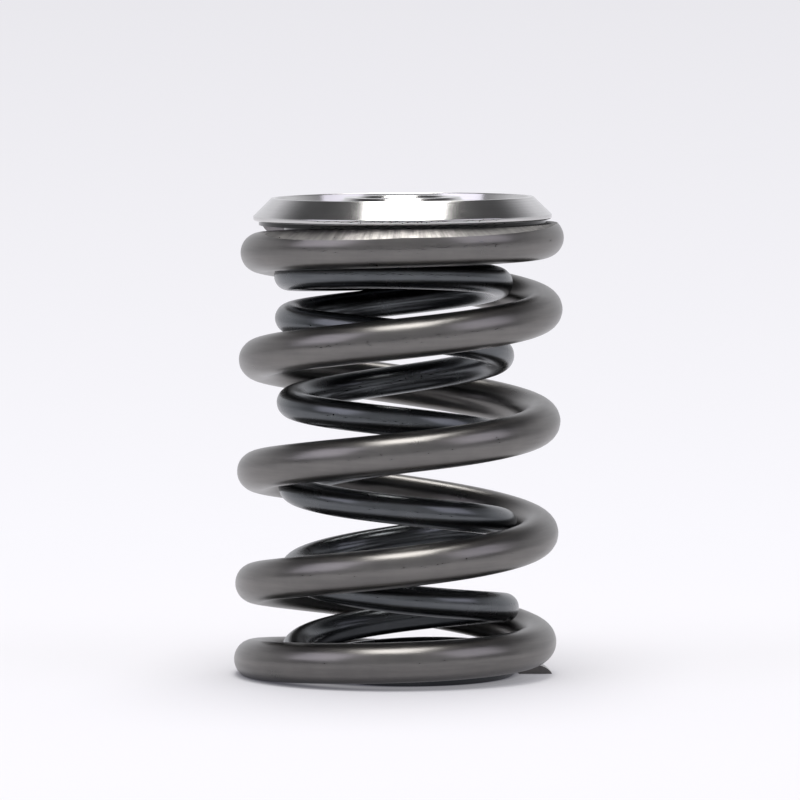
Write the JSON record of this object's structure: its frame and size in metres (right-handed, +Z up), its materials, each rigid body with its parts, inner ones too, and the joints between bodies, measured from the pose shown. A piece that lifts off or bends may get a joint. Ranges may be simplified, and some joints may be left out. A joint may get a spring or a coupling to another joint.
{
  "type": "valve spring",
  "caption": "Dual valve spring standing on end: a thick right-hand outer coil round a thin left-hand inner coil, both ends ground flat, under a dished round retainer with a tapered bore.",
  "frame": {"origin": "on the floor, midway between the foot and the head of the outer spring's slightly leaning axis", "axes": "+Z up along the stack, +X to the picture's right, +Y away from the camera"},
  "size_m": [0.0296, 0.0299, 0.0428],
  "materials": {
    "outer_wire": "dark satin spring steel with bright ground ends",
    "inner_wire": "darker, smoother oil-blackened spring steel",
    "turned_steel": "bright fine-turned steel"
  },
  "bodies": {
    "root": {"outer_spring": "outer_wire", "inner_spring": "inner_wire", "retainer": "turned_steel"}
  },
  "joints": []
}
